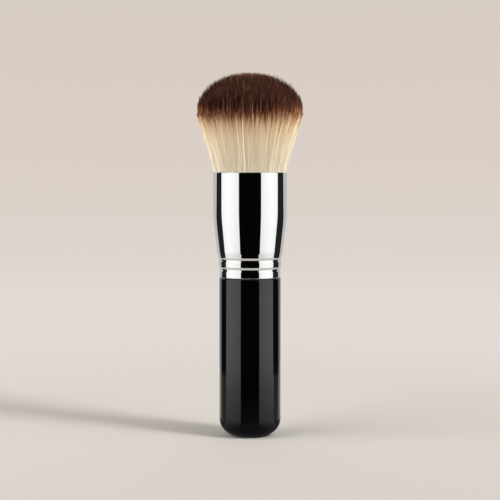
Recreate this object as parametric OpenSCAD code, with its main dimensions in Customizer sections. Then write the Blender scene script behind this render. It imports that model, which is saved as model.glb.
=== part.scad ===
// A dome-topped kabuki powder brush: a turned and lacquered handle, a plated ferrule swaged onto
// its tenon, and a dense two-tone tuft bonded into the ferrule's mouth. It stands on its base, +Z up.

/* [Handle] */
// Diameter of the handle's straight barrel
handle_d = 21.6; // [19:0.2:23]
// Height of the barrel from the base to the foot of the ferrule
handle_len = 55.8; // [45:0.2:80]
// Radius of the round between the base and the barrel
base_round = 6.2; // [4:0.2:8]
// Radius of the round at the barrel's upper edge
shoulder_round = 0.5; // [0.2:0.1:1]
// Free height inside the ferrule between the tenon's top and the resin
tenon_room = 3.2; // [1:0.2:6]
// Bevel at the top of the tenon
tenon_bevel = 1; // [0.4:0.1:1.6]
// Number of glue grooves turned into the tenon
glue_grooves = 3; // [1:1:4]
// Width of a glue groove
glue_groove_w = 1.2; // [0.8:0.1:1.6]
// Depth of a glue groove
glue_groove_depth = 0.5; // [0.3:0.1:0.9]

/* [Ferrule] */
// Outside diameter of the ferrule at its mouth
mouth_d = 25.9; // [25:0.1:30]
// Length of the ferrule
ferrule_len = 36.8; // [35:0.2:44]
// Thickness of the ferrule's sheet
ferrule_wall = 0.45; // [0.3:0.05:0.6]
// How far the ferrule's foot lies inside the barrel's edge
foot_step = 0.08; // [0:0.02:0.2]
// Length of the gently flared foot that carries the crimped rings
foot_len = 7.6; // [6:0.1:8.5]
// Growth of the radius over the flared foot
foot_flare = 0.62; // [0.4:0.02:0.8]
// Height of the taper from the foot to the straight mouth
taper_len = 13.4; // [10:0.2:17]
// Length of the soft bend between the taper and the straight mouth
bend_len = 6; // [2:0.5:8]
// Height of the lower crimped ring above the ferrule's foot
crimp_low = 3; // [2:0.1:3.8]
// Distance from the lower crimped ring to the upper one
crimp_pitch = 3.3; // [2.6:0.1:3.6]
// Width of a crimped ring
crimp_w = 1.8; // [1:0.1:2.4]
// Depth of a crimped ring
crimp_depth = 0.22; // [0.1:0.02:0.3]

/* [Tuft] */
// Length of the hair above the ferrule's mouth
hair_out = 35; // [28:0.5:45]
// Diameter of the tuft at its widest
dome_d = 37.8; // [32:0.2:44]
// Height of the dome above the tuft's widest level
dome_h = 14.5; // [9:0.5:18]
// Fullness of the dome's shoulders, where 2 is an ellipse
dome_fullness = 2.3; // [2:0.1:3]
// Rings of strands round the middle strand, ring n holding 6n of them
strand_rings = 11; // [10:1:12]
// Gap between neighbouring strands at their roots
strand_gap = 0.16; // [0.1:0.02:0.3]
// Length of a strand's tapered tip
strand_taper = 3; // [1.5:0.1:5]
// Largest difference of a strand's tip from the dome
tip_scatter = 0.6; // [0:0.05:1]
// Depth of the tuft's butt below the ferrule's mouth
set_depth = 14; // [12:0.5:15]
// Depth of the bonded part's upper face below the ferrule's mouth
bond_depth = 2; // [1:0.5:4]

/* [Bonding] */
// Clearance between the bonded tuft and the ferrule's sheet
tuft_clearance = 0.2; // [0.1:0.05:0.3]
// Thickness of the glue line round the tenon, at the ferrule's foot
glue_line = 0.27; // [0.15:0.02:0.4]
// Bare height of the tenon above its glue
glue_short = 7; // [5:0.5:9]
// Thickness of the resin under the tuft's butt
resin_t = 3.4; // [2:0.2:4]
// Height that the resin climbs round the butt
resin_climb = 2.4; // [1:0.2:2.8]
// Thickness of the elastic band that gathers the butt
band_t = 0.5; // [0.3:0.05:0.8]
// Height of the elastic band
band_h = 2.4; // [1.5:0.1:3]
// Height of the band's lower edge above the butt
band_up = 3.2; // [3:0.1:4]

/* [Hidden] */
$fn = 96;

fit = 0.02;                                   // clearance between two surfaces that are bonded
eps = 0.01;
handle_r = handle_d / 2;
foot_r = handle_r - foot_step;
tenon_r = foot_r - ferrule_wall - glue_line;
foot_z = handle_len;
mouth_r = mouth_d / 2;
mouth_z = foot_z + ferrule_len;
flare_r = foot_r + foot_flare;                // where the foot ends and the taper begins
taper_top = foot_len + taper_len;             // where the taper's line meets the mouth's
crimps = [crimp_low, crimp_low + crimp_pitch];

tuft_r = mouth_r - ferrule_wall - tuft_clearance;
butt_z = mouth_z - set_depth;
bond_z = mouth_z - bond_depth;
tenon_len = ferrule_len - set_depth - resin_t - tenon_room;
tenon_top_z = foot_z + tenon_len;
band_z = butt_z + band_up;
waist_r = tuft_r - band_t;                    // the butt is drawn in by the band's thickness
waist_top_z = band_z + band_h + band_t;
dome_r = dome_d / 2;
widest_z = mouth_z + hair_out - dome_h;
strand_pitch = tuft_r / (strand_rings + 0.5); // at the roots, both along and across the rings
strand_sides = 4;
strand_levels = 3;                            // sections of a strand below its tip
strand_size = strand_sides * strand_levels + 1; // points of one strand
root_bury = 0.5;                              // depth of a strand's root in the bonded part
ring_phase = 137.5;                           // turn of each ring of strands from the one inside it
core_rings = 4;                               // last ring of the core, and of the middle layer
middle_rings = 8;

black = [0.03, 0.03, 0.035];
chrome = [0.82, 0.83, 0.84];
cream = [0.86, 0.77, 0.63];
brown = [0.25, 0.14, 0.10];
amber = [0.78, 0.66, 0.42];
rubber = [0.55, 0.42, 0.30];

function mix(a, b, t) = a + (b - a) * t;

// Points of an arc of radius r about [x, z], from angle a to angle b
function arc(x, z, r, a, b, steps = 8) =
    [for (i = [0 : steps]) [x + r * cos(mix(a, b, i / steps)), z + r * sin(mix(a, b, i / steps))]];

// Outer radius of the ferrule at height h above its foot, without the crimped rings
function sleeve_r(h) =
    let (bend_a = taper_top - bend_len / 2, bend_b = taper_top + bend_len / 2)
    h <= foot_len ? mix(foot_r, flare_r, h / foot_len)
    : h >= bend_b ? mouth_r
    : h <= bend_a ? mix(flare_r, mouth_r, (h - foot_len) / taper_len)
    : let (start_r = mix(flare_r, mouth_r, (bend_a - foot_len) / taper_len), t = (h - bend_a) / bend_len)
      mouth_r - (mouth_r - start_r) * pow(1 - t, 2);

// Depth of the crimped rings at height h
function crimp_at(h, n = 0) =
    n == len(crimps) ? 0
    : let (off = abs(h - crimps[n]))
      (off < crimp_w / 2 ? crimp_depth * (1 + cos(360 * off / crimp_w)) / 2 : 0) + crimp_at(h, n + 1);

function ferrule_r(h) = sleeve_r(h) - crimp_at(h);
function bore_r(h) = ferrule_r(h) - ferrule_wall;

// Heights at which the sheet's outline needs a point, from one height above the foot to another
function sheet_heights(from, to) =
    let (
        crimps_top = crimps[len(crimps) - 1] + crimp_w / 2,
        corners = [
            from,
            for (c = crimps, i = [-6 : 6]) c + crimp_w * i / 12,
            if (foot_len > crimps_top) foot_len,
            for (i = [0 : 8]) taper_top + bend_len * (i / 8 - 0.5),
            to
        ]
    )
    [for (h = corners) if (h >= from && h <= to) h];

// The plane between the axis and the bore, less a clearance, from one height above the foot to another
module bore_filling(from, to) {
    polygon([
        for (h = sheet_heights(from, to)) [bore_r(h) - fit, foot_z + h],
        [0, foot_z + to],
        [0, foot_z + from]
    ]);
}

module tenon_outline(grow = 0) {
    pitch = (tenon_len - tenon_bevel) / (glue_grooves + 1);
    difference() {
        polygon([
            [0, foot_z - eps - grow], [tenon_r + grow, foot_z - eps - grow],
            [tenon_r + grow, tenon_top_z - tenon_bevel + grow],
            [tenon_r - tenon_bevel, tenon_top_z + grow], [0, tenon_top_z + grow]
        ]);
        for (i = [1 : glue_grooves])
            translate([tenon_r + grow - glue_groove_depth, foot_z + pitch * i - glue_groove_w / 2 + grow])
                square([glue_groove_depth + 1, glue_groove_w - 2 * grow]);
    }
}

module handle() {
    color(black)
        rotate_extrude() {
            translate([0, base_round])
                square([handle_r, handle_len - base_round - shoulder_round]);
            square([handle_r - base_round, base_round + eps]);
            intersection() {
                translate([handle_r - base_round, base_round])
                    circle(r = base_round);
                translate([handle_r - base_round - eps, 0])
                    square([base_round + 2 * eps, base_round + eps]);
            }
            translate([0, handle_len - shoulder_round - eps])
                square([handle_r - shoulder_round, shoulder_round + eps]);
            intersection() {
                translate([handle_r - shoulder_round, handle_len - shoulder_round])
                    circle(r = shoulder_round);
                translate([handle_r - shoulder_round - eps, handle_len - shoulder_round - eps])
                    square(shoulder_round + 2 * eps);
            }
            tenon_outline();
        }
}

module ferrule() {
    lip = ferrule_wall / 2;
    heights = sheet_heights(lip, ferrule_len - lip);
    color(chrome)
        rotate_extrude()
            translate([0, foot_z])
                polygon([
                    for (h = heights) [ferrule_r(h), h],
                    each arc(mouth_r - lip, ferrule_len - lip, lip, 0, 180),
                    for (i = [len(heights) - 1 : -1 : 0]) [bore_r(heights[i]), heights[i]],
                    each arc(foot_r - lip, lip, lip, 180, 360)
                ]);
}

module tenon_glue() {
    color(amber)
        rotate_extrude()
            difference() {
                bore_filling(fit + ferrule_wall / 2, tenon_len - glue_short);
                tenon_outline(fit);
            }
}

module root_resin() {
    butt = butt_z - foot_z;
    color(amber)
        rotate_extrude()
            polygon([
                for (h = sheet_heights(butt - resin_t, butt + resin_climb)) [bore_r(h) - fit, foot_z + h],
                [waist_r + fit, butt_z + resin_climb],
                [waist_r + fit, butt_z - fit],
                [0, butt_z - fit],
                [0, butt_z - resin_t]
            ]);
}

module tuft_band() {
    color(rubber)
        rotate_extrude()
            translate([waist_r + fit, band_z])
                square([band_t, band_h]);
}

// Radius of the tuft's outermost hair at height z, as if it ran straight on through the dome
function fan_r(z) =
    z <= mouth_z ? tuft_r : mix(tuft_r, dome_r, (z - mouth_z) / (widest_z - mouth_z));

// Radius of the dome at height z
function dome_at(z) =
    z <= widest_z ? dome_r
    : dome_r * pow(max(0, 1 - pow((z - widest_z) / dome_h, dome_fullness)), 1 / dome_fullness);

// Height at which the hair that takes a share of the fan reaches the dome, by halving the interval
function tip_z(share, low = widest_z, high = mouth_z + hair_out, steps = 24) =
    let (z = (low + high) / 2)
    steps == 0 ? z
    : share * fan_r(z) > dome_at(z) ? tip_z(share, low, z, steps - 1)
    : tip_z(share, z, high, steps - 1);

// Angle of the strand in one place of a ring; each ring is turned on, so that no gaps line up
function strand_angle(ring, place) = ring == 0 ? 0 : ring_phase * ring + 60 / ring * place;

// Four corners, at height z, of the strand in one place of a ring
function strand_corners(ring, place, z) =
    let (
        spread = fan_r(z) / tuft_r,
        r = ring * strand_pitch,
        half = (strand_pitch - strand_gap) / 2,
        middle = strand_angle(ring, place)
    )
    ring == 0
    ? [for (a = [45, 135, 225, 315]) [half * spread * cos(a), half * spread * sin(a), z]]
    : let (swing = 30 / ring - strand_gap / 2 / r * 180 / PI)
      [for (c = [[-1, -1], [1, -1], [1, 1], [-1, 1]])
          [(r + c[0] * half) * spread * cos(middle + c[1] * swing),
           (r + c[0] * half) * spread * sin(middle + c[1] * swing), z]];

// Points of one strand: its buried root, the ferrule's mouth, the start of its taper and its tip
function strand_points(ring, place) =
    let (
        share = ring / (strand_rings + 0.5),
        scatter = tip_scatter * sin(ring * 97 + place * 151),
        top = tip_z(share) - abs(scatter),
        middle = strand_angle(ring, place),
        r = share * fan_r(top)
    )
    [
        each strand_corners(ring, place, bond_z - root_bury),
        each strand_corners(ring, place, mouth_z),
        each strand_corners(ring, place, top - strand_taper),
        [r * cos(middle), r * sin(middle), top]
    ];

// Triangles of one strand whose first point has the given number
function strand_faces(first) =
    let (taper = first + strand_sides * (strand_levels - 1), tip = first + strand_size - 1)
    [
        [first, first + 1, first + 2], [first, first + 2, first + 3],
        for (level = [0 : strand_levels - 2], i = [0 : strand_sides - 1])
            let (
                a = first + strand_sides * level + i,
                b = first + strand_sides * level + (i + 1) % strand_sides
            )
            each [[a, a + strand_sides, b], [b, a + strand_sides, b + strand_sides]],
        for (i = [0 : strand_sides - 1])
            [taper + i, tip, taper + (i + 1) % strand_sides]
    ];

// All the strands of rings first to last, as separate closed shells
module strands(first, last) {
    places = [for (ring = [first : last], place = [0 : max(0, 6 * ring - 1)]) [ring, place]];
    polyhedron(
        points = [for (p = places) each strand_points(p[0], p[1])],
        faces = [for (i = [0 : len(places) - 1]) each strand_faces(strand_size * i)]
    );
}

// One layer of the tuft: its strands, fused to their slice of the bonded butt
module tuft_layer(first, last) {
    inner_r = first == 0 ? 0 : (first - 0.5) * strand_pitch + fit;
    outer_r = last == strand_rings ? tuft_r : (last + 0.5) * strand_pitch - fit;
    strands(first, last);
    rotate_extrude()
        difference() {
            translate([inner_r, butt_z])
                square([outer_r - inner_r, bond_z - butt_z]);
            if (last == strand_rings)
                translate([waist_r, butt_z - 1])
                    square([band_t + 1, waist_top_z - butt_z + 1]);
        }
}

module tuft_core() { color(brown) tuft_layer(0, core_rings); }
module tuft_middle() { color(brown) tuft_layer(core_rings + 1, middle_rings); }
module tuft_outer() { color(cream) tuft_layer(middle_rings + 1, strand_rings); }

handle();
ferrule();
tuft_core();
tuft_middle();
tuft_outer();
tuft_band();
root_resin();
tenon_glue();
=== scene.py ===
import math

import bpy
import numpy as np
from mathutils.kdtree import KDTree
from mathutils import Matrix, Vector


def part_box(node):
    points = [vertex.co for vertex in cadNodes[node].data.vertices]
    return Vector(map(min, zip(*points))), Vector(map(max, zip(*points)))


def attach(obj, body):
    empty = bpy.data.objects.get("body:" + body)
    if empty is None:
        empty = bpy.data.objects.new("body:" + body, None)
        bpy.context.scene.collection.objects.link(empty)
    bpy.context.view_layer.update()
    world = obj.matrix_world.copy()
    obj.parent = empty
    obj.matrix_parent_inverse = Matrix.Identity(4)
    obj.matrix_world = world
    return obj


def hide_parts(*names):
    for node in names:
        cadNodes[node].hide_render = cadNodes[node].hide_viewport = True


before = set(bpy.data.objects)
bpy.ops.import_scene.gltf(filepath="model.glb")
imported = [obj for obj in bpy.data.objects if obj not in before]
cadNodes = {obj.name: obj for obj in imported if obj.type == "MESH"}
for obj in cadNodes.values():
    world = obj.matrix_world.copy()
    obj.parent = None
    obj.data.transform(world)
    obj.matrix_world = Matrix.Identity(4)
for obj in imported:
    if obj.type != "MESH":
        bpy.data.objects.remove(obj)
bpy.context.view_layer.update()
mm = 0.001
scene = bpy.context.scene
scene.view_settings.view_transform = "Standard"
body = "root"

# the brush's own heights, in millimetres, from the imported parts
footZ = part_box("ferrule")[0].z / mm
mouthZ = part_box("ferrule")[1].z / mm
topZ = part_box("tuft_core")[1].z / mm
print("frame loaded, ferrule from", round(footZ, 2), "to", round(mouthZ, 2), "mm")


# Shader maths as Python: a wire is one output of a node, and an expression on wires adds Math nodes.
class Wire:
    def __init__(self, nodes, socket):
        self.nodes = nodes
        self.socket = socket

    def maths(self, operation, first, second=0.0):
        return self.nodes.add("Math", {"operation": operation}, {0: first, 1: second})

    def __add__(self, other):
        return self.maths("ADD", self, other)

    def __sub__(self, other):
        return self.maths("SUBTRACT", self, other)

    def __rsub__(self, other):
        return self.maths("SUBTRACT", other, self)

    def __mul__(self, other):
        return self.maths("MULTIPLY", self, other)

    def __truediv__(self, other):
        return self.maths("DIVIDE", self, other)

    def __rtruediv__(self, other):
        return self.maths("DIVIDE", other, self)

    def __pow__(self, other):
        return self.maths("POWER", self, other)

    __radd__ = __add__
    __rmul__ = __mul__


class Nodes:
    def __init__(self, name=None, tree=None):
        if tree is None:
            self.material = bpy.data.materials.new(name)
            self.material.use_nodes = True
            tree = self.material.node_tree
        self.tree = tree
        self.tree.nodes.clear()

    # any node: its type, its settings (a ramp's stops among them), and values or wires for its sockets
    def add(self, kind, settings=None, values=None, out=0):
        node = self.tree.nodes.new("ShaderNode" + kind)
        for key, value in (settings or {}).items():
            if key == "stops":
                self.setStops(node.color_ramp.elements, value)
            else:
                setattr(node, key, value)
        for key, value in (values or {}).items():
            if isinstance(value, Wire):
                self.tree.links.new(value.socket, node.inputs[key])
            else:
                node.inputs[key].default_value = value
        if isinstance(out, tuple):
            return [Wire(self, node.outputs[i]) for i in out]
        return Wire(self, node.outputs[out]) if node.outputs else node

    def setStops(self, elements, stops):
        while len(elements) < len(stops):
            elements.new(1.0)
        for element, (place, colour) in zip(elements, stops):
            element.position = place
            element.color = colour

    def mixColour(self, factor, first, second):
        return self.add("Mix", {"data_type": "RGBA"}, {0: factor, 6: first, 7: second}, out=2)

    def largest(self, first, *others):
        for other in others:
            first = self.add("Math", {"operation": "MAXIMUM"}, {0: first, 1: other})
        return first

    def principled(self, **values):
        return self.add("BsdfPrincipled", None, {key.replace("_", " "): v for key, v in values.items()})

    def finish(self, shader):
        self.add("OutputMaterial", None, {"Surface": shader})
        return self.material


# a colour as it looks on a screen, 0 to 255, as the shader's linear one
def tint(red, green, blue, strength=1.0):
    def straight(value):
        share = value / 255
        return strength * (share / 12.92 if share <= 0.04045 else ((share + 0.055) / 1.055) ** 2.4)

    return (straight(red), straight(green), straight(blue), 1.0)


# Builds a mesh from points in millimetres, faces of three or four corners, and a UV for each point
def buildMesh(name, points, faces, uvs=None, smooth=True):
    mesh = bpy.data.meshes.new(name)
    if isinstance(faces, list):
        sizes = np.array([len(f) for f in faces])
        corners = np.concatenate(faces)
    else:
        sizes = np.full(len(faces), faces.shape[1])
        corners = faces.ravel()
    mesh.vertices.add(len(points))
    mesh.vertices.foreach_set("co", (np.asarray(points, float) * mm).ravel())
    mesh.loops.add(len(corners))
    mesh.loops.foreach_set("vertex_index", corners.astype(np.int32))
    mesh.polygons.add(len(sizes))
    starts = np.concatenate([[0], np.cumsum(sizes)[:-1]])
    mesh.polygons.foreach_set("loop_start", starts.astype(np.int32))
    mesh.update(calc_edges=True)
    mesh.polygons.foreach_set("use_smooth", np.full(len(sizes), smooth))
    if uvs is not None:
        for layerName in ("strandMap", "OFBake"):
            layer = mesh.uv_layers.new(name=layerName)
            layer.uv.foreach_set("vector", np.asarray(uvs)[corners].ravel())
    mesh.validate()
    piece = bpy.data.objects.new(name, mesh)
    scene.collection.objects.link(piece)
    return piece


# Turns a profile of (radius, height) points round the Z axis. A point at radius 0 closes the form there, and
# a closed profile joins its end to its start, as a tube's does.
def lathe(name, profile, around=256, closed=False):
    turn = 2 * math.pi * np.arange(around) / around
    points, rows = [], []
    for r, z in profile:
        count = 1 if r == 0 else around
        rows.append(len(points) + np.arange(around) % count)
        points += [(r * math.cos(a), r * math.sin(a), z) for a in turn[:count]]
    faces = []
    for low, high in zip(rows, rows[1:] + (rows[:1] if closed else [])):
        nextLow, nextHigh = np.roll(low, -1), np.roll(high, -1)
        for face in zip(low, nextLow, nextHigh, high):
            faces.append(list(dict.fromkeys(int(corner) for corner in face)))
    return buildMesh(name, points, faces)


# points of an arc about (x, z), from one angle to another in degrees
def arc(x, z, radius, fromAngle, toAngle, steps=12):
    angles = np.radians(np.linspace(fromAngle, toAngle, steps + 1))
    return [(x + radius * math.cos(a), z + radius * math.sin(a)) for a in angles]


# a new piece rides on the brush's one body, and the CAD parts it stands for are hidden
def placePiece(piece, slot, *stoodFor):
    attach(piece, body)
    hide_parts(*stoodFor)


cameraSet = {
    "distance": 520,     # mm in front of the brush's axis
    "height": 92.6,
    "pitch": 3.0,        # degrees down
    "lens": 106.78,
}


def makeCamera():
    data = bpy.data.cameras.new("camera")
    data.lens = cameraSet["lens"]
    data.sensor_width = 36.0
    data.clip_start = 0.01
    data.clip_end = 20
    camera = bpy.data.objects.new("camera", data)
    camera.location = (0, -cameraSet["distance"] * mm, cameraSet["height"] * mm)
    camera.rotation_euler = (math.radians(90 - cameraSet["pitch"]), 0, 0)
    scene.collection.objects.link(camera)
    scene.camera = camera
    print("camera placed")


makeCamera()

studio = {
    "lit": (0.535, 0.542, 0.546),    # of the floor's colour where the lamps light it
    "paintedLightBehind": 0.7,    # and more of it for each metre towards the wall: painted light, making up for the lamps lighting the front more
    "wall": [                # what the backdrop shows at each height, mm
        (0, tint(226, 219, 213)), (25, tint(221, 213, 206)), (70, tint(219, 209, 201)),
        (150, tint(217, 206, 197)), (240, tint(214, 204, 195)), (500, tint(212, 202, 193)),
    ],
    "floorReach": 560,       # mm, where the floor begins to curve up
    "coveRound": 180,
    "wallTop": 500,
    "plainFrom": 115,        # mm from the brush, where the floor's light begins to even out
    "plainTo": 320,
    "toothScale": 900.0,
    "toothBump": 0.06,
    "haze": tint(255, 251, 246, 0.46),    # the light from all round
}

# lamps: degrees round from the camera, mm away, mm up, mm across, watts
lamps = {
    "keyLamp": (58, 1600, 1400, 450, 38.0),
    "rightLamp": (62, 560, 330, 620, 2.6),
    "leftLamp": (-65, 560, 330, 620, 5.0),
    "backLamp": (180, 700, 900, 600, 1.4),
}
lampAim = 60                 # mm up the brush's axis

# Boards that only reflections see, glowing sheets that paint what the lacquer and chrome reflect: softboxes,
# dark cards, and the floor darkening towards the brush.
# From and to in degrees round from the camera, then rows from the nearest to the last as distance, height,
# brightness and share of the full width, and the brightness across.
floorWhite = [
    (130, 0.5, 0.75), (160, 0.5, 1.0), (200, 0.5, 1.14),
    (260, 0.5, 1.28), (340, 0.5, 1.31), (560, 0.5, 1.34),
]
wallWhite = [(560, 15, 1.31), (560, 60, 1.34), (560, 700, 1.36)]
whiteAcross = [0.84, 0.95, 1, 0.88]
floorDark = [(160, 0.5, 0.04), (190, 0.5, 0.02), (560, 0.5, 0.02)]
floorBlack = [(130, 0.5, 0.002, 0.6), (145, 0.5, 0.002, 0.85), (170, 0.5, 0.002, 0.96), (210, 0.5, 0.002)]
# the curbs' dark rows from 3 to 20 mm paint the floor's contact shadow round the base into the reflections
lightCurb = [
    (3, 0.5, 0.05), (10, 0.5, 0.09), (14, 0.5, 0.16), (20, 0.5, 0.3),
    (37, 0.5, 0.46), (37, 7.6, 0.66), (37, 12.7, 0.78), (37, 18, 1.0),
]
darkCurb = [(3, 0.5, 0.05), (20, 0.5, 0.09), (37, 0.5, 0.21), (37, 18, 0.15)]
blackCurb = [(3, 0.5, 0.08), (20, 0.5, 0.08), (37, 0.5, 0.05), (37, 12, 0.002), (37, 19.5, 0.001)]
boards = {
    "rightWhite": (34.4, 95.0, [*floorWhite, *wallWhite], whiteAcross),
    "leftWhite": (-34.4, -98.8, [*floorWhite, *wallWhite], whiteAcross),
    "rightDark": (95.0, 125.3, [*floorDark, (560, 700, 0.02)], [1, 1]),
    "leftDark": (-98.8, -125.7, [*floorDark, (560, 700, 0.02)], [1, 1]),
    "rightFlap": (125.3, 132, [*floorDark, (560, 90, 0.02, 0.1)], [1, 1]),
    "leftFlap": (-125.7, -132.4, [*floorDark, (560, 90, 0.02, 0.1)], [1, 1]),
    "rightBlack": (0, 34.4, [*floorBlack, (560, 0.5, 0.002), (560, 700, 0.002)], [1, 1]),
    "leftBlack": (0, -34.4, [*floorBlack, (560, 0.5, 0.002), (560, 700, 0.002)], [1, 1]),
    "frontCurb": (-29.7, 29.7, blackCurb, [1, 1]),
    "rightCurb": (29.7, 88, lightCurb, whiteAcross),
    "leftCurb": (-29.7, -88.9, lightCurb, whiteAcross),
    "rightDarkCurb": (88, 118, darkCurb, [1, 1]),
    "leftDarkCurb": (-88.9, -118.2, darkCurb, [1, 1]),
    "backCurb": (118, 241.8, [(3, 0.5, 0.05), (20, 0.5, 0.12), (37, 0.5, 0.35)], [1, 1]),
    "backGrey": (132, 227.6, [(190, 0.5, 0.6), (560, 0.5, 0.6), (560, 700, 0.62)], [1, 1]),
}
boardBrightest = 3.0         # the shaders' colours are shares of this
boardSteps = 48              # from side to side


# A place round the brush: azimuth 0 is towards the camera, and it grows to the camera's right
def roundBrush(azimuth, distance, height):
    a = math.radians(azimuth)
    return np.array([distance * math.sin(a), -distance * math.cos(a), height])


# Lit like the floor near the brush, where it takes the shadow, and evenly coloured further out
def makePaper():
    nodes = Nodes("studioPaper")
    place = nodes.add("TexCoord", out=3)
    x, y, z = nodes.add("SeparateXYZ", None, {0: place}, out=(0, 1, 2))
    away = (x * x + y * y) ** 0.5
    plain = nodes.add(
        "MapRange", {"interpolation_type": "SMOOTHSTEP"},
        {0: away, 1: studio["plainFrom"] * mm, 2: studio["plainTo"] * mm},
    )
    camera, glossy, transmitted = nodes.add("LightPath", out=(0, 3, 6))
    stops = [(height / studio["wallTop"], colour) for height, colour in studio["wall"]]
    colour = nodes.add("ValToRGB", {"stops": stops}, {0: z / (studio["wallTop"] * mm)})
    tooth = nodes.add("TexNoise", None, {"Vector": place, "Scale": studio["toothScale"], "Detail": 3.0})
    bump = nodes.add("Bump", None, {"Strength": studio["toothBump"], "Distance": 0.0002, "Height": tooth})
    paper = nodes.add("VectorMath", {"operation": "MULTIPLY"}, {0: colour, 1: studio["lit"]})
    # painted light: the floor's colour grows from front to back, so the lamps' uneven light looks even
    paintedFloorLight = 1 + y * studio["paintedLightBehind"]
    paper = nodes.add("VectorMath", {"operation": "SCALE"}, {0: paper, "Scale": paintedFloorLight})
    lit = nodes.principled(Base_Color=paper, Roughness=1.0, Specular_IOR_Level=0.0, Normal=bump)
    even = nodes.add("Emission", None, {"Color": colour})
    seen = nodes.largest(camera, glossy, transmitted) * plain
    return nodes.finish(nodes.add("MixShader", None, {0: seen, 1: lit, 2: even}))


def makeBackdrop():
    reach, bend = studio["floorReach"], studio["coveRound"]
    under = reach + 1    # a millimetre under the cove's edge
    floor = lathe("floor", [(0, 0), (60, 0), (240, 0), (under, 0)], around=128)
    cove = lathe("cove", [*arc(reach, bend, bend, -90, 0, 24), (reach + bend, studio["wallTop"])], around=128)
    paper = makePaper()
    for piece in (floor, cove):
        piece.data.materials.append(paper)
    cove.visible_shadow = False    # the lamps stand outside it


# Even stops of grey for a ramp
def greyStops(levels):
    return [(i / (len(levels) - 1), (level, level, level, 1)) for i, level in enumerate(levels)]


# a board glows only for glossy rays, a painted reflection that lights nothing
def makeBoard(name, fromAzimuth, toAzimuth, rows, across):
    deep = len(rows)
    points, uvs = [], []
    for turn in np.linspace(0, 1, boardSteps + 1):
        for i, (distance, height, level, *share) in enumerate(rows):
            azimuth = fromAzimuth + (toAzimuth - fromAzimuth) * turn * (share or [1])[0]
            points.append(roundBrush(azimuth, distance, height))
            uvs.append((turn, i / (deep - 1)))
    starts = [step * deep + i for step in range(boardSteps) for i in range(deep - 1)]
    faces = np.array([(c, c + 1, c + deep + 1, c + deep) for c in starts])
    board = buildMesh(name, points, faces, uvs, smooth=False)
    nodes = Nodes(name)
    boardMap = nodes.add("UVMap", {"uv_map": "strandMap"})
    side, out = nodes.add("SeparateXYZ", None, {0: boardMap}, out=(0, 1))
    level = nodes.add("ValToRGB", {"stops": greyStops([row[2] / boardBrightest for row in rows])}, {0: out})
    level = level * nodes.add("ValToRGB", {"stops": greyStops(across)}, {0: side})
    light = nodes.add("Emission", None, {"Color": level, "Strength": boardBrightest})
    board.data.materials.append(nodes.finish(light))
    board.visible_camera = False
    board.visible_diffuse = False
    board.visible_shadow = False
    board.visible_transmission = False


def makeLamp(name, azimuth, distance, height, across, power):
    data = bpy.data.lights.new(name, "AREA")
    data.size = across * mm
    data.energy = power
    lamp = bpy.data.objects.new(name, data)
    place = roundBrush(azimuth, distance, height)
    lamp.location = place * mm
    towards = np.array([0, 0, lampAim]) - place
    tilt = math.acos(-towards[2] / np.linalg.norm(towards))
    lamp.rotation_euler = (tilt, 0, math.atan2(towards[1], towards[0]) - math.pi / 2)
    lamp.visible_camera = False
    lamp.visible_glossy = False
    scene.collection.objects.link(lamp)


def makeWorld():
    world = bpy.data.worlds.new("world")
    scene.world = world
    world.use_nodes = True
    nodes = Nodes(tree=world.node_tree)
    seen = nodes.largest(*nodes.add("LightPath", out=(0, 3, 6)))
    colour = nodes.mixColour(seen, studio["haze"], studio["wall"][-1][1])
    light = nodes.add("Background", None, {"Color": colour, "Strength": 1.0})
    nodes.add("OutputWorld", None, {"Surface": light})


def makeStudio():
    makeWorld()
    makeBackdrop()
    for name, board in boards.items():
        makeBoard(name, *board)
    for name, lamp in lamps.items():
        makeLamp(name, *lamp)
    print("studio made")


makeStudio()

handle = {
    "radius": 10.8,
    "baseRound": 6.2,
    "shoulderRound": 0.5,
    "tenonRadius": 10.0,
    "tenonLength": 16.2,
    "tenonBevel": 1.0,
    "grooves": 3,
    "grooveWidth": 1.2,
    "grooveDepth": 0.5,
    "lacquer": tint(1, 1, 2),
    "worn": tint(4, 4, 5),
    "roughness": 0.06,
    "roughnessRange": 0.03,
    "mirror": 0.66,          # how strongly the lacquer reflects
    "peelScale": 240.0,
    "peelBump": 0.006,
    "wearScale": 70.0,
}


def makeLacquer():
    nodes = Nodes("blackLacquer")
    place = nodes.add("TexCoord", out=3)
    peel = nodes.add("TexNoise", None, {"Vector": place, "Scale": handle["peelScale"], "Detail": 2.0})
    wear = nodes.add("TexNoise", None, {"Vector": place, "Scale": handle["wearScale"], "Detail": 5.0})
    bump = nodes.add("Bump", None, {"Strength": handle["peelBump"], "Distance": 0.0004, "Height": peel})
    rough = handle["roughness"] + (wear - 0.5) * handle["roughnessRange"]
    colour = nodes.mixColour(wear, handle["lacquer"], handle["worn"])
    return nodes.finish(nodes.principled(
        Base_Color=colour, Roughness=rough, Specular_IOR_Level=handle["mirror"], Normal=bump
    ))


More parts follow.
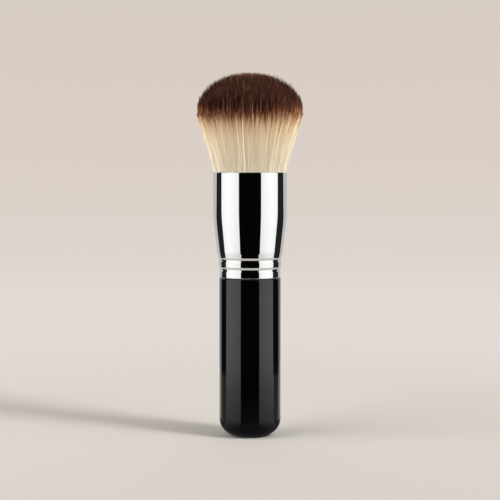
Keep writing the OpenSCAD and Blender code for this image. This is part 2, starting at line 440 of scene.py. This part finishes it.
def makeHandle():
    r, base, top = handle["radius"], handle["baseRound"], footZ
    shoulder, tenon, bevel = handle["shoulderRound"], handle["tenonRadius"], handle["tenonBevel"]
    tenonTop = top + handle["tenonLength"]
    pitch = (handle["tenonLength"] - bevel) / (handle["grooves"] + 1)
    hub, rim, seat, nick = 1.5, 0.05, 0.03, 0.02    # mm: the innermost ring, and rows beside sharp edges
    profile = [(0, 0), (hub, 0), (r - base - rim, 0), *arc(r - base, base, base, -90, 0, 40)]
    profile += [(r, z) for z in np.linspace(base + 0.6, top - shoulder - 0.4, 16)]
    profile += arc(r - shoulder, top - shoulder, shoulder, 0, 90, 10)
    profile += [(tenon + seat, top), (tenon, top + seat)]
    for i in range(handle["grooves"]):
        low = top + pitch * (i + 1) - handle["grooveWidth"] / 2
        high = low + handle["grooveWidth"]
        deep = tenon - handle["grooveDepth"]
        profile += [(tenon, low - nick), (tenon, low), (deep, low + nick), (deep, high - nick), (tenon, high)]
    profile += [(tenon, tenonTop - bevel), (tenon - bevel, tenonTop), (hub, tenonTop), (0, tenonTop)]
    barrel = lathe("barrel", profile)
    barrel.data.materials.append(makeLacquer())
    placePiece(barrel, "black_lacquer", "handle")
    print("handle turned and lacquered")


makeHandle()

ferrule = {
    "footRadius": 10.72,
    "flareRadius": 11.34,    # where the foot ends and the taper begins
    "mouthRadius": 12.95,
    "wall": 0.45,
    "footLength": 7.6,
    "taperLength": 13.4,
    "bendLength": 6.0,
    "crimps": (3.0, 6.3),    # heights of the rings above the foot
    "crimpWidth": 1.8,
    "crimpDepth": 0.2,
    "dishWidth": 6.0,        # and the shallow dish the rings stand in
    "dishDepth": 0.17,
    "rows": 60,              # heights with a ring of corners, and the steps across each crimp
    "crimpSteps": 32,
    "plate": tint(228, 228, 227),
    "haze": tint(222, 222, 221),
    "hazeScale": 120.0,
    "roughness": 0.03,
    "roughnessRange": 0.03,
    "drawnScale": (1400.0, 1400.0, 30.0),    # fine lines along the draw
    "drawnBump": 0.001,
}


# outer radius of the sheet at a height above its foot
def sleeveRadius(h):
    foot, flare, mouth = ferrule["footRadius"], ferrule["flareRadius"], ferrule["mouthRadius"]
    footLength, bend = ferrule["footLength"], ferrule["bendLength"]
    bendFrom = footLength + ferrule["taperLength"] - bend / 2
    slope = (mouth - flare) / ferrule["taperLength"]
    if h <= footLength:
        radius = foot + (flare - foot) * h / footLength
    elif h <= bendFrom:
        radius = flare + slope * (h - footLength)
    else:
        start = flare + slope * (bendFrom - footLength)
        radius = mouth - (mouth - start) * max(0, 1 - (h - bendFrom) / bend) ** 2
    for crimp in ferrule["crimps"]:
        for kind in ("crimp", "dish"):
            off = abs(h - crimp) / ferrule[kind + "Width"]
            radius -= ferrule[kind + "Depth"] * (1 + math.cos(2 * math.pi * min(off, 0.5))) / 2
    return radius


def makeChrome():
    nodes = Nodes("chromePlate")
    place = nodes.add("TexCoord", out=3)
    haze = nodes.add("TexNoise", None, {"Vector": place, "Scale": ferrule["hazeScale"], "Detail": 4.0})
    drawn = nodes.add("Mapping", None, {"Vector": place, "Scale": ferrule["drawnScale"]})
    lines = nodes.add("TexNoise", None, {"Vector": drawn, "Scale": 1.0, "Detail": 2.0})
    bump = nodes.add("Bump", None, {"Strength": ferrule["drawnBump"], "Distance": 0.0002, "Height": lines})
    rough = ferrule["roughness"] + (haze - 0.5) * ferrule["roughnessRange"]
    colour = nodes.mixColour(haze, ferrule["plate"], ferrule["haze"])
    return nodes.finish(nodes.principled(Base_Color=colour, Metallic=1.0, Roughness=rough, Normal=bump))


def makeFerrule():
    length, wall = mouthZ - footZ, ferrule["wall"]
    lip = wall / 2
    crimpEdge = ferrule["crimpWidth"] / 2
    heights = {lip, length - lip, *np.linspace(lip, length - lip, ferrule["rows"])}
    for crimp in ferrule["crimps"]:
        heights |= set(np.linspace(crimp - crimpEdge, crimp + crimpEdge, ferrule["crimpSteps"] + 1))
    heights = [h for h in sorted(heights) if lip <= h <= length - lip]
    outside = [(sleeveRadius(h), footZ + h) for h in heights]
    inside = [(r - wall, z) for r, z in reversed(outside)]
    mouth = arc(outside[-1][0] - lip, mouthZ - lip, lip, 0, 180)[1:-1]
    foot = arc(outside[0][0] - lip, footZ + lip, lip, 180, 360)[1:-1]
    sleeve = lathe("sleeve", outside + mouth + inside + foot, around=320, closed=True)
    sleeve.data.materials.append(makeChrome())
    placePiece(sleeve, "chrome_plate", "ferrule")
    print("ferrule spun and plated")


makeFerrule()

tuft = {
    "rootR": 12.4,           # mm, at the ferrule's mouth
    "spread": 0.27,          # mm outwards for each mm up
    "flare": 0.0026,         # and for each square of it
    "widestR": 18.68,
    "widestUp": 21.0,        # mm above the mouth
    "turn": 0.25,            # mm, how softly the sides turn upright there
    "fullness": 2.24,        # of the dome's shoulders, 2 is round
    "buried": 1.5,           # mm of each fibre below the ferrule's mouth
    "border": 19.3,          # mm above the mouth, where brown meets cream
    "borderRise": 1.9,       # and this much higher at the sides
    "borderScatter": 1.2,    # from fibre to fibre
    "clumpBorder": 0.8,      # and from clump to clump
    "fingers": 0.25,         # share of the clumps whose brown runs down further
    "fingerLength": 1.2,
    "below": 28.0,           # mm below and above the border that the colours run over
    "above": 28.0,
    "clumps": 9000,
    "clumpJitter": 0.8,      # how far a place strays from the even spiral, in places
    "clumpPull": 0.3,
    "clumpLean": 0.007,      # how far a clump's tip leans aside, of the tuft's radius
    "fibreLean": 0.004,      # and a fibre's tip in it
    "wobble": 0.004,         # how far the middle of a fibre strays
    "leastShort": 0.12,      # mm that every fibre but a tall one ends inside the dome
    "clumpShort": 0.35,      # mm more in each clump on average, and at most
    "clumpShortMost": 1.2,
    "fibreShort": 0.25,      # and for each fibre
    "fibreShortMost": 1.0,
    "shortShift": 1.4,       # a shorter fibre's end lies this much further down the dome
    "tall": 0.07,            # share of the clumps that hold tall fibres, which reach the dome and are painted towards the sunlit colour as highlights
    "tallInClump": 0.45,     # share of the fibres in such a clump that are tall
    "tallAlone": 0.02,       # and of the fibres anywhere
    "tallEnd": 0.15,         # mm that a tall fibre ends inside or outside the dome, at most
    "tallHighlightTone": 0.4,         # tones run from 0, painted shade, to 1, painted sunlight; tall fibres take at least this, as painted highlights
    # strays take at least this tone, painted sunlit as a backlit rim round the dome's outline
    "strayRimLightTone": 0.6,
    "clumpTone": 0.26,
    "fibreTone": 0.05,
    "sideFibres": 8200,      # in each of two layers
    "sideRings": {           # from and to, as shares of the tuft's radius
        "tuftSide": (0.94, 0.998),
        "tuftUnderSide": (0.88, 0.96),
    },
    "domeFibres": 26000,     # sown over the dome; those past the shoulder are left to the sides
    "domeJitter": 1.5,
    "turnJitter": 0.02,      # radians for each place of that
    "ringJitter": 0.003,     # radians
    "crownTo": 0.62,
    "shoulderTo": 0.91,
    "strays": 800,
    "strayRing": (0.6, 0.99),
    "strayRise": 0.25,       # mm above the dome at most
    "straySplay": (-0.005, 0.014),
    "thick": 0.065,          # radius of a fibre, mm
    "thickRange": (0.85, 1.25),
    "tallThicker": 0.1,
    "taper": 4.5,            # mm from where a fibre narrows to its tip
    "tipThick": 0.25,        # of its full thickness
}
widestZ = mouthZ + tuft["widestUp"]
domeHeight = topZ - widestZ
colourSpan = tuft["below"] + tuft["above"]
goldenAngle = math.radians(137.508)

# each piece of hair: the length of its fibres in mm, and where along them their rings of corners lie
fibreForms = {
    "tuftSide": (60.0, (0, 0.3, 0.6, 0.85, 1)),
    "tuftUnderSide": (60.0, (0, 0.3, 0.6, 0.85, 1)),
    "tuftShoulder": (11.0, (0, 0.55, 1)),
    "tuftCrown": (9.0, (0, 0.55, 1)),
    "tuftStrays": (8.0, (0, 0.4, 0.75, 1)),
}

# what each height shows, in mm from the colour border: the fibre painted shaded and painted sunlit. The paler
# stops at 15 mm paint the backlit tips at the top of the dome.
hairColours = {
    "shaded": [
        (-28, tint(230, 221, 203)), (-17, tint(229, 217, 193)), (-11, tint(240, 224, 194)),
        (-7, tint(241, 221, 188)), (-4.5, tint(235, 209, 172)), (-2.8, tint(223, 188, 148)),
        (-1.6, tint(190, 138, 94)), (-0.3, tint(125, 66, 35)), (1.2, tint(60, 25, 13)),
        (3, tint(34, 13, 8)), (9, tint(20, 7, 4)), (13.4, tint(18, 6, 3)), (15, tint(56, 30, 18)),
    ],
    "sunlit": [
        (-28, tint(236, 229, 215)), (-17, tint(236, 227, 209)), (-11, tint(245, 233, 208)),
        (-7, tint(245, 229, 201)), (-4.5, tint(241, 219, 188)), (-2.8, tint(234, 205, 170)),
        (-1.6, tint(220, 174, 133)), (-0.3, tint(182, 120, 82)), (1.2, tint(146, 88, 60)),
        (3, tint(126, 79, 57)), (9, tint(108, 65, 48)), (13.4, tint(100, 60, 43)), (15, tint(186, 128, 90)),
    ],
}


# How wide the fan is at a height: its inner fibres run on outwards, and the outermost turn upright
def fanRadius(z, share=1.0):
    up = np.maximum(z - mouthZ, 0)
    cone = tuft["rootR"] + tuft["spread"] * up + tuft["flare"] * up ** 2
    over = cone - tuft["widestR"]
    return cone - (over + np.hypot(over, tuft["turn"])) / 2 * share ** 4


# The dome's outline from its widest level to its top, as height, share of the fan, and area so far
def domeOutline():
    t = np.linspace(0, math.pi / 2, 1201)
    power = 2 / tuft["fullness"]
    r = fanRadius(widestZ) * np.cos(t) ** power
    z = widestZ + domeHeight * np.sin(t) ** power
    r[-1] = 0
    low, high = np.zeros(len(r)), np.ones(len(r))
    for halving in range(30):
        share = (low + high) / 2
        under = share * fanRadius(z, share) < r
        low, high = np.where(under, share, low), np.where(under, high, share)
    area = np.concatenate([[0], np.cumsum(np.hypot(np.diff(r), np.diff(z)) * (r[1:] + r[:-1]) / 2)])
    return z, low, area / area[-1]


domeZ, domeShare, domeArea = domeOutline()
random = np.random.default_rng(11)


# Even places over the dome, as points of a disc whose radius is the share of the fan
def scatterOverDome(count, jitter):
    order = (np.arange(count) + 0.5 + random.normal(0, jitter, count)) / count
    share = np.interp(np.clip(order, 0, 1), domeArea, domeShare)
    angle = np.arange(count) * goldenAngle + random.normal(0, jitter, count) * tuft["turnJitter"]
    return np.stack([share * np.cos(angle), share * np.sin(angle)], 1)


# Even places in a ring of that disc
def ringPlaces(count, fromShare, toShare):
    share = np.linspace(fromShare, toShare, count)
    angle = np.arange(count) * goldenAngle + random.normal(0, tuft["ringJitter"], count)
    return np.stack([share * np.cos(angle), share * np.sin(angle)], 1)


def makeClumps():
    count = tuft["clumps"]
    places = scatterOverDome(count, tuft["clumpJitter"])
    tree = KDTree(count)
    for i, (x, y) in enumerate(places):
        tree.insert((x, y, 0), i)
    tree.balance()
    fingers = random.uniform(0, 1, count) < tuft["fingers"]
    return {
        "places": places,
        "tree": tree,
        "tall": random.uniform(0, 1, count) < tuft["tall"],
        "tone": random.uniform(0, 1, count) ** 2,
        "lean": random.normal(0, tuft["clumpLean"], (count, 2)),
        "short": np.minimum(random.exponential(tuft["clumpShort"], count), tuft["clumpShortMost"]),
        "border": (
            random.normal(0, tuft["clumpBorder"], count)
            - fingers * random.exponential(tuft["fingerLength"], count)
        ),
    }


clumps = makeClumps()


# The lines that fibres follow: each runs from its place in the disc up the fan, leans a little towards its
# clump, and ends on the dome
def fibreLines(places, nearest, length, levels, rise, splay):
    count = len(places)
    pull = (clumps["places"][nearest] - places) * tuft["clumpPull"]
    luck = random.uniform(0, 1, count)
    tall = (clumps["tall"][nearest] & (luck < tuft["tallInClump"])) | (luck > 1 - tuft["tallAlone"])
    lean = clumps["lean"][nearest] + random.normal(0, tuft["fibreLean"], (count, 2))
    fibreShort = np.minimum(random.exponential(tuft["fibreShort"], count), tuft["fibreShortMost"])
    short = tuft["leastShort"] + clumps["short"][nearest] + fibreShort
    short = np.where(tall, random.uniform(-tuft["tallEnd"], tuft["tallEnd"], count), short)
    ended = np.linalg.norm(places + pull + lean, axis=1) + tuft["shortShift"] * short / tuft["widestR"]
    tip = np.interp(np.clip(ended, 0, 1), domeShare[::-1], domeZ[::-1]) - short + rise
    base = np.maximum(tip - length, mouthZ - tuft["buried"])
    z = base[:, None] + (tip - base)[:, None] * np.array(levels)
    along = np.clip((z - mouthZ) / (tip - mouthZ)[:, None], 0, 1)[:, :, None]
    wobble = random.normal(0, tuft["wobble"], (count, 1, 2)) * np.sin(along * math.pi)
    splayed = 1 + np.broadcast_to(splay, count)[:, None, None] * along ** 4
    disc = places[:, None] + pull[:, None] * along ** 2 + lean[:, None] * along ** 5 + wobble
    disc *= splayed / np.maximum(1, np.linalg.norm(disc, axis=2, keepdims=True))
    spread = fanRadius(z, np.linalg.norm(disc, axis=2))
    return np.stack([disc[..., 0] * spread, disc[..., 1] * spread, z], 2), tip, tall


# Three-sided tubes round those lines, narrowed towards their tips
def fibreTubes(lines, tip, tall):
    count, rows = lines.shape[:2]
    fade = np.clip((tip[:, None] - lines[..., 2]) / tuft["taper"], 0, 1)
    narrowed = tuft["tipThick"] + (1 - tuft["tipThick"]) * fade ** 0.7
    size = random.uniform(*tuft["thickRange"], count) + tuft["tallThicker"] * tall
    thick = tuft["thick"] * size[:, None] * narrowed
    turn = random.uniform(0, 2 * math.pi, count)
    corners = []
    for k in range(3):
        a = turn + k * 2 * math.pi / 3
        side = np.stack([np.cos(a), np.sin(a), np.zeros(count)], 1)
        corners.append(lines + side[:, None] * thick[:, :, None])
    points = np.stack(corners, 2)    # fibre, level, corner, place
    first = (np.arange(count) * rows * 3)[:, None, None]
    quads = np.array([
        (3 * row + k, 3 * row + (k + 1) % 3, 3 * row + 3 + (k + 1) % 3, 3 * row + 3 + k)
        for row in range(rows - 1) for k in range(3)
    ])
    return points.reshape(-1, 3), (first + quads).reshape(-1, 4)


# A UV for each corner: its fibre's tone across, which mixes the painted shaded and sunlit colours, and its
# height from the border upwards
def fibreUvs(z, places, nearest, tall, paintedRimLight):
    tone = tuft["clumpTone"] * clumps["tone"][nearest] + tuft["fibreTone"] * random.uniform(0, 1, len(z))
    paintedLitTone = random.uniform(tuft["strayRimLightTone" if paintedRimLight else "tallHighlightTone"], 1, len(z))
    # tall fibres and strays take a painted sunlit tone: painted highlights and a painted backlit rim
    tone = np.where(tall | paintedRimLight, paintedLitTone, tone)
    border = mouthZ + tuft["border"] + tuft["borderRise"] * places[:, 0] ** 2
    border += clumps["border"][nearest] + random.normal(0, tuft["borderScatter"], len(z))
    across = 0.02 + 0.95 * tone[:, None, None] + np.array([0, 0.008, 0.004])    # a sliver wide, inside 0 to 1
    up = (z - border[:, None] + tuft["below"]) / colourSpan
    return np.stack(np.broadcast_arrays(across, up[:, :, None]), 3).reshape(-1, 2)


def makeFibres(name, places, rise=0.0, splay=0.0, paintedRimLight=False):
    nearest = np.array([clumps["tree"].find((x, y, 0))[1] for x, y in places])
    lines, tip, tall = fibreLines(places, nearest, *fibreForms[name], rise, splay)
    points, faces = fibreTubes(lines, tip, tall)
    return buildMesh(name, points, faces, fibreUvs(lines[..., 2], places, nearest, tall, paintedRimLight))


# the ramps' colours by height, mixed by tone
def colourByHeight(nodes, tone, height):
    def ramp(stops):
        placed = [((at + tuft["below"]) / colourSpan, colour) for at, colour in stops]
        return nodes.add("ValToRGB", {"stops": placed}, {0: height})

    return nodes.mixColour(tone, ramp(hairColours["shaded"]), ramp(hairColours["sunlit"]))


hair = {
    "grain": (90.0, 36.0, 1.0),    # mottles across and along the tuft's fibres
    "toneMottle": 0.3,
    "borderMottle": 0.02,
    "roughness": 0.45,
    "roughnessMottle": 0.1,
    "shine": 0.18,
}


def makeHairMaterial():
    nodes = Nodes("hairFibre")
    strandMap = nodes.add("UVMap", {"uv_map": "strandMap"})
    tone, height = nodes.add("SeparateXYZ", None, {0: strandMap}, out=(0, 1))
    grain = nodes.add("Mapping", None, {"Vector": strandMap, "Scale": hair["grain"]})
    mottle = nodes.add("TexNoise", None, {"Vector": grain, "Scale": 1.0, "Detail": 2.0})
    mottledTone = tone + (mottle - 0.5) * hair["toneMottle"]
    colour = colourByHeight(nodes, mottledTone, height + (mottle - 0.5) * hair["borderMottle"])
    rough = hair["roughness"] + mottle * hair["roughnessMottle"]
    return nodes.finish(nodes.principled(
        Base_Color=colour, Roughness=rough, Specular_IOR_Level=hair["shine"]
    ))


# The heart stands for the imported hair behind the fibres, and shows only in the gaps between them
heart = {
    "inset": 1.9,            # mm inside the dome's outline
    "mouthShare": 0.25,      # of that at the ferrule's mouth
    "neck": (1.2, 1.0),      # mm inside the hair's roots, at the butt and just below the mouth
    "neckTop": 2.0,          # mm below the mouth
    "strandScale": 70.0,
    "strandLength": 0.05,    # the smaller it is, the longer the strands
    "borderBlur": 0.06,
    "tone": 0.3,
    "toneSpread": 1.6,
    "bump": 0.5,
    "roughness": 0.7,
    "shine": 0.1,
}


def makeHeartMaterial():
    nodes = Nodes("packedHair")
    place = nodes.add("TexCoord", out=3)
    x, y, height = nodes.add("SeparateXYZ", None, {0: place}, out=(0, 1, 2))
    flat = nodes.add("CombineXYZ", None, {0: x, 1: y, 2: height * heart["strandLength"]})
    ray = nodes.add("VectorMath", {"operation": "NORMALIZE"}, {0: flat})
    strands = nodes.add("TexNoise", None, {"Vector": ray, "Scale": heart["strandScale"], "Detail": 3.0})
    lowest = (mouthZ + tuft["border"] - tuft["below"]) * mm
    level = (height - lowest) / (colourSpan * mm) + (strands - 0.5) * heart["borderBlur"]
    colour = colourByHeight(nodes, (strands - 0.5) * heart["toneSpread"] + heart["tone"], level)
    bump = nodes.add("Bump", None, {"Strength": heart["bump"], "Distance": 0.0004, "Height": strands})
    return nodes.finish(nodes.principled(
        Base_Color=colour, Roughness=heart["roughness"], Specular_IOR_Level=heart["shine"], Normal=bump
    ))


def makeHeart():
    inset, low, rootR = heart["inset"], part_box("tuft_core")[0].z / mm, tuft["rootR"]
    neckLow, neckHigh = heart["neck"]
    t = np.linspace(0, math.pi / 2, 40)
    power = 2 / tuft["fullness"]
    r = (tuft["widestR"] - inset) * np.cos(t) ** power
    z = widestZ + (domeHeight - inset) * np.sin(t) ** power
    r[-1] = 0
    rise = np.linspace(0, 1, 25)
    insets = inset * (heart["mouthShare"] + (1 - heart["mouthShare"]) * rise)
    cone = fanRadius(mouthZ + rise * tuft["widestUp"]) - insets
    profile = [(0, low), (rootR - neckLow, low), (rootR - neckHigh, mouthZ - heart["neckTop"])]
    profile += [*zip(cone, mouthZ + rise[:-1] * tuft["widestUp"]), *zip(r, z)]
    piece = lathe("tuftHeart", profile, around=128)
    piece.data.materials.append(makeHeartMaterial())
    return piece


def makeTuft():
    sides = [
        makeFibres(name, ringPlaces(tuft["sideFibres"], *ring))
        for name, ring in tuft["sideRings"].items()
    ]
    places = scatterOverDome(tuft["domeFibres"], tuft["domeJitter"])
    away = np.linalg.norm(places, axis=1)
    onShoulder = (away > tuft["crownTo"]) & (away < tuft["shoulderTo"])
    onCrown = away <= tuft["crownTo"]
    shoulder = makeFibres("tuftShoulder", places[onShoulder])
    crown = makeFibres("tuftCrown", places[onCrown])
    # the strays are painted sunlit, a painted backlit rim round the tuft's outline
    strays = makeFibres(
        "tuftStrays", ringPlaces(tuft["strays"], *tuft["strayRing"]), paintedRimLight=True,
        rise=random.uniform(0, tuft["strayRise"], tuft["strays"]),
        splay=random.uniform(*tuft["straySplay"], tuft["strays"]),
    )
    fibreMaterial = makeHairMaterial()
    for piece in (*sides, shoulder, crown, strays):
        piece.data.materials.append(fibreMaterial)
    for piece in (*sides, strays):
        placePiece(piece, "outer_hair", "tuft_outer")
    placePiece(shoulder, "middle_hair", "tuft_middle")
    placePiece(crown, "core_hair", "tuft_core")
    placePiece(makeHeart(), "core_hair", "tuft_core")
    print("tuft made of", 2 * tuft["sideFibres"] + sum(onShoulder) + sum(onCrown) + tuft["strays"], "fibres")


makeTuft()

# the hidden pieces: two colours, their roughness, and the size of their clouding
inside = {
    "tuft_band": (tint(150, 112, 78), tint(118, 84, 56), 0.75, 400.0),
    "root_resin": (tint(196, 160, 92), tint(170, 130, 66), 0.25, 150.0),
    "tenon_glue": (tint(206, 180, 124), tint(182, 150, 92), 0.35, 200.0),
}


def finishInside(node, pale, deep, roughness, scale):
    nodes = Nodes(node.split("_")[1] + "Finish")
    place = nodes.add("TexCoord", out=3)
    cloud = nodes.add("TexNoise", None, {"Vector": place, "Scale": scale, "Detail": 4.0})
    bump = nodes.add("Bump", None, {"Strength": 0.2, "Distance": 0.0002, "Height": cloud})
    colour = nodes.mixColour(cloud, pale, deep)
    cadNodes[node].data.materials.clear()
    cadNodes[node].data.materials.append(nodes.finish(nodes.principled(
        Base_Color=colour, Roughness=roughness, Normal=bump
    )))


for node, finish in inside.items():
    finishInside(node, *finish)
print("inner pieces finished")
